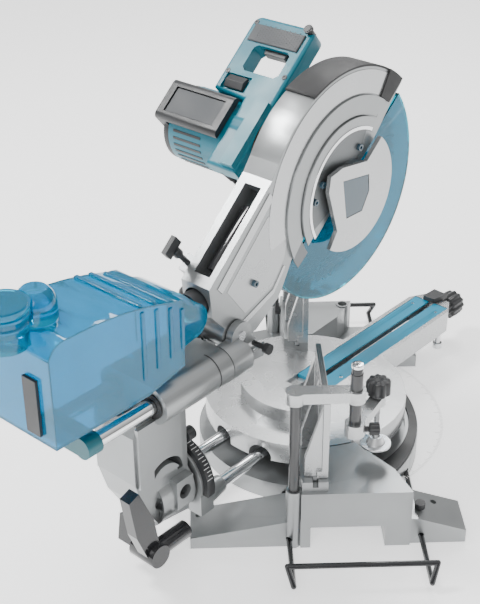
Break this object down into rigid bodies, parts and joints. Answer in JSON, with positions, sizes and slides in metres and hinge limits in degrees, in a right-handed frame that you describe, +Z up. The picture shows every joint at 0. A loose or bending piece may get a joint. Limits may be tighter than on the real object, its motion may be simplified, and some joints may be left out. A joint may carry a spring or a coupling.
{
  "type": "sliding compound mitre saw",
  "caption": "Sliding compound mitre saw with a raised head, turned table, round slide poles, clear dust box, vise and wire work holders.",
  "frame": {"origin": "on the turntable axis, in the plane of the base's underside", "axes": "+X to the operator's right, -Y towards the operator, +Z up"},
  "size_m": [0.9114, 0.7281, 0.6454],
  "materials": {
    "cast_silver": "satin",
    "machined_steel": "polished",
    "teal_plastic": "gloss",
    "black_plastic": "matte",
    "clear_blue": "gloss",
    "blade_steel": "satin",
    "cyan_plastic": "matte",
    "black_rubber": "matte",
    "black_metal": "satin",
    "bright_steel": "satin",
    "copper": "satin",
    "grey_grip": "matte"
  },
  "bodies": {
    "base": {"base": "cast_silver", "mitre_scale": "black_plastic", "foot_pads": "black_rubber", "fence_rails": "cast_silver", "lock_knobs": "black_plastic", "mains_lead": "black_rubber", "mains_coil": "black_rubber", "mains_plug": "black_rubber"},
    "left_fence": {"left_fence": "cast_silver"},
    "right_fence": {"right_fence": "cast_silver"},
    "left_holder": {"left_work_holder": "black_metal"},
    "right_holder": {"right_work_holder": "black_metal"},
    "vise_stand": {"vise_rod": "black_metal", "vise_upper_arm": "cast_silver"},
    "vise_swing": {"vise_post": "black_metal", "vise_lower_arm": "cast_silver"},
    "vise_foot": {"vise_plate": "bright_steel"},
    "vise_screw": {"vise_screw": "black_plastic"},
    "turntable": {"turntable": "cast_silver", "kerf_boards": "cyan_plastic", "table_screws": "bright_steel"},
    "grip_knob": {"grip_knob": "black_plastic"},
    "detent_lever": {"detent_lever": "black_plastic"},
    "lower_slide": {"lower_poles": "machined_steel", "slide_holder": "cast_silver", "bevel_scale": "black_plastic"},
    "bevel_arm": {"bevel_arm": "cast_silver"},
    "bevel_lever": {"bevel_lever": "black_plastic"},
    "bevel_release": {"bevel_release_knob": "black_plastic"},
    "upper_slide": {"upper_poles": "machined_steel", "pole_end_cap": "teal_plastic", "pivot_bracket": "cast_silver", "pivot_bolt": "bright_steel"},
    "head_lock": {"head_lock_pin": "black_plastic"},
    "head": {"head_case": "cast_silver", "gear_housing": "cast_silver", "spring_tube": "black_plastic", "centre_cover": "cast_silver", "case_bumper": "black_rubber", "case_screws": "bright_steel", "motor_housing": "teal_plastic", "handle_grip": "grey_grip", "motor_cover": "black_plastic", "lamp_block": "black_plastic", "cord_guard": "black_rubber", "stator": "copper", "dust_box": "clear_blue", "dust_nozzle": "black_plastic", "head_lead": "black_rubber"},
    "depth_screw": {"depth_screw": "black_plastic"},
    "lamp_switch": {"lamp_switch": "black_plastic"},
    "trigger": {"trigger": "black_plastic"},
    "lock_off": {"lock_off_button": "black_plastic"},
    "spindle": {"blade": "blade_steel", "blade_flanges": "bright_steel", "arbor_gear": "bright_steel"},
    "armature": {"armature": "copper"},
    "lower_guard": {"lower_guard": "clear_blue"},
    "dust_lid": {"dust_box_lid": "clear_blue"},
    "dust_latch": {"dust_box_latch": "black_plastic"}
  },
  "joints": [
    {"name": "left_fence_slide", "type": "slide", "parent": "base", "child": "left_fence", "axis": [-1, 0, 0], "range_m": [0, 0.045]},
    {"name": "right_fence_slide", "type": "slide", "parent": "base", "child": "right_fence", "axis": [1, 0, 0], "range_m": [0, 0.045]},
    {"name": "left_holder_slide", "type": "slide", "parent": "base", "child": "left_holder", "axis": [-1, 0, 0], "range_m": [-0.07, 0]},
    {"name": "right_holder_slide", "type": "slide", "parent": "base", "child": "right_holder", "axis": [1, 0, 0], "range_m": [-0.07, 0]},
    {"name": "vise_stand_turn", "type": "hinge", "parent": "base", "child": "vise_stand", "pos_m": [-0.258, 0.036, 0.2], "axis": [0, 0, 1], "range_deg": [-90, 12]},
    {"name": "vise_swing_turn", "type": "hinge", "parent": "vise_stand", "child": "vise_swing", "pos_m": [-0.258, -0.045, 0.2], "axis": [0, 0, 1], "range_deg": [-110, 10]},
    {"name": "vise_feed", "type": "slide", "parent": "vise_swing", "child": "vise_foot", "axis": [0, 0, 1], "range_m": [0, 0.04]},
    {"name": "vise_screw_turn", "type": "hinge", "parent": "vise_foot", "child": "vise_screw", "pos_m": [-0.19, -0.085, 0.2], "axis": [0, 0, 1], "range_deg": [0, 2880]},
    {"name": "mitre", "type": "hinge", "parent": "base", "child": "turntable", "pos_m": [0, 0, 0.05], "axis": [0, 0, 1], "range_deg": [-98.85, 13.15]},
    {"name": "grip_turn", "type": "hinge", "parent": "turntable", "child": "grip_knob", "pos_m": [0.28453, -0.26672, 0.064], "axis": [0.7296, -0.6839, 0], "range_deg": [-180, 180]},
    {"name": "detent_lift", "type": "hinge", "parent": "turntable", "child": "detent_lever", "pos_m": [0.25535, -0.23937, 0.1], "axis": [-0.6839, -0.7296, 0], "range_deg": [0, 25], "stiffness_Nm_per_rad": 0.3, "springref_deg": -11.46},
    {"name": "lower_slide_travel", "type": "slide", "parent": "turntable", "child": "lower_slide", "axis": [0.7296, -0.6839, 0], "range_m": [0, 0.098]},
    {"name": "bevel", "type": "hinge", "parent": "lower_slide", "child": "bevel_arm", "pos_m": [-0.21887, 0.20517, 0.097], "axis": [-0.7296, 0.6839, 0], "range_deg": [-25, 5]},
    {"name": "bevel_lever_turn", "type": "hinge", "parent": "bevel_arm", "child": "bevel_lever", "pos_m": [-0.26264, 0.24621, 0.079], "axis": [-0.7296, 0.6839, 0], "range_deg": [-12, 0]},
    {"name": "bevel_release_pull", "type": "slide", "parent": "bevel_arm", "child": "bevel_release", "axis": [0.7296, -0.6839, 0], "range_m": [0, 0.005], "stiffness_N_per_m": 400, "springref_m": -0.004},
    {"name": "upper_slide_travel", "type": "slide", "parent": "bevel_arm", "child": "upper_slide", "axis": [0.7296, -0.6839, 0], "range_m": [0, 0.085]},
    {"name": "head_lock_pull", "type": "slide", "parent": "upper_slide", "child": "head_lock", "axis": [-0.6839, -0.7296, 0], "range_m": [0, 0.008]},
    {"name": "chop", "type": "hinge", "parent": "upper_slide", "child": "head", "pos_m": [-0.14227, 0.13336, 0.295], "axis": [0.6839, 0.7296, 0], "range_deg": [0, 41], "stiffness_Nm_per_rad": 22, "springref_deg": -137.51},
    {"name": "depth_screw_turn", "type": "hinge", "parent": "head", "child": "depth_screw", "pos_m": [-0.14278, 0.17908, 0.39999], "axis": [-0.4786, 0.4487, 0.7547], "range_deg": [-180, 180]},
    {"name": "lamp_rocker", "type": "hinge", "parent": "head", "child": "lamp_switch", "pos_m": [0.0918, 0.10173, 0.56295], "axis": [0.6839, 0.7296, 0], "range_deg": [-6, 6]},
    {"name": "trigger_pull", "type": "slide", "parent": "head", "child": "trigger", "axis": [0.5506, -0.5162, 0.6561], "range_m": [0, 0.006], "stiffness_N_per_m": 500, "springref_m": -0.003},
    {"name": "lock_off_press", "type": "slide", "parent": "head", "child": "lock_off", "axis": [0.4786, -0.4487, -0.7547], "range_m": [0, 0.003], "stiffness_N_per_m": 500, "springref_m": -0.002},
    {"name": "spindle_spin", "type": "hinge", "parent": "head", "child": "spindle", "pos_m": [0.03861, -0.0362, 0.42439], "axis": [0.6839, 0.7296, 0], "continuous": true},
    {"name": "armature_spin", "type": "hinge", "parent": "head", "child": "armature", "pos_m": [0.08037, 0.10285, 0.48349], "axis": [0.6839, 0.7296, 0], "continuous": true},
    {"name": "lower_guard_turn", "type": "hinge", "parent": "head", "child": "lower_guard", "pos_m": [0.03861, -0.0362, 0.42439], "axis": [0.6839, 0.7296, 0], "range_deg": [-168.1, 0]},
    {"name": "dust_lid_turn", "type": "hinge", "parent": "head", "child": "dust_lid", "pos_m": [-0.39862, 0.3819, 0.47], "axis": [0, 0, 1], "range_deg": [0, 90]},
    {"name": "dust_latch_open", "type": "hinge", "parent": "head", "child": "dust_latch", "pos_m": [-0.41809, 0.35629, 0.318], "axis": [-0.6839, -0.7296, 0], "range_deg": [0, 30]}
  ],
  "couplings": [
    {"joint": "vise_screw_turn", "follows": "vise_feed", "rad_per_m": 1256.6},
    {"joint": "armature_spin", "follows": "spindle_spin", "ratio": -4.2},
    {"joint": "lower_guard_turn", "follows": "chop", "ratio": -4.1}
  ]
}
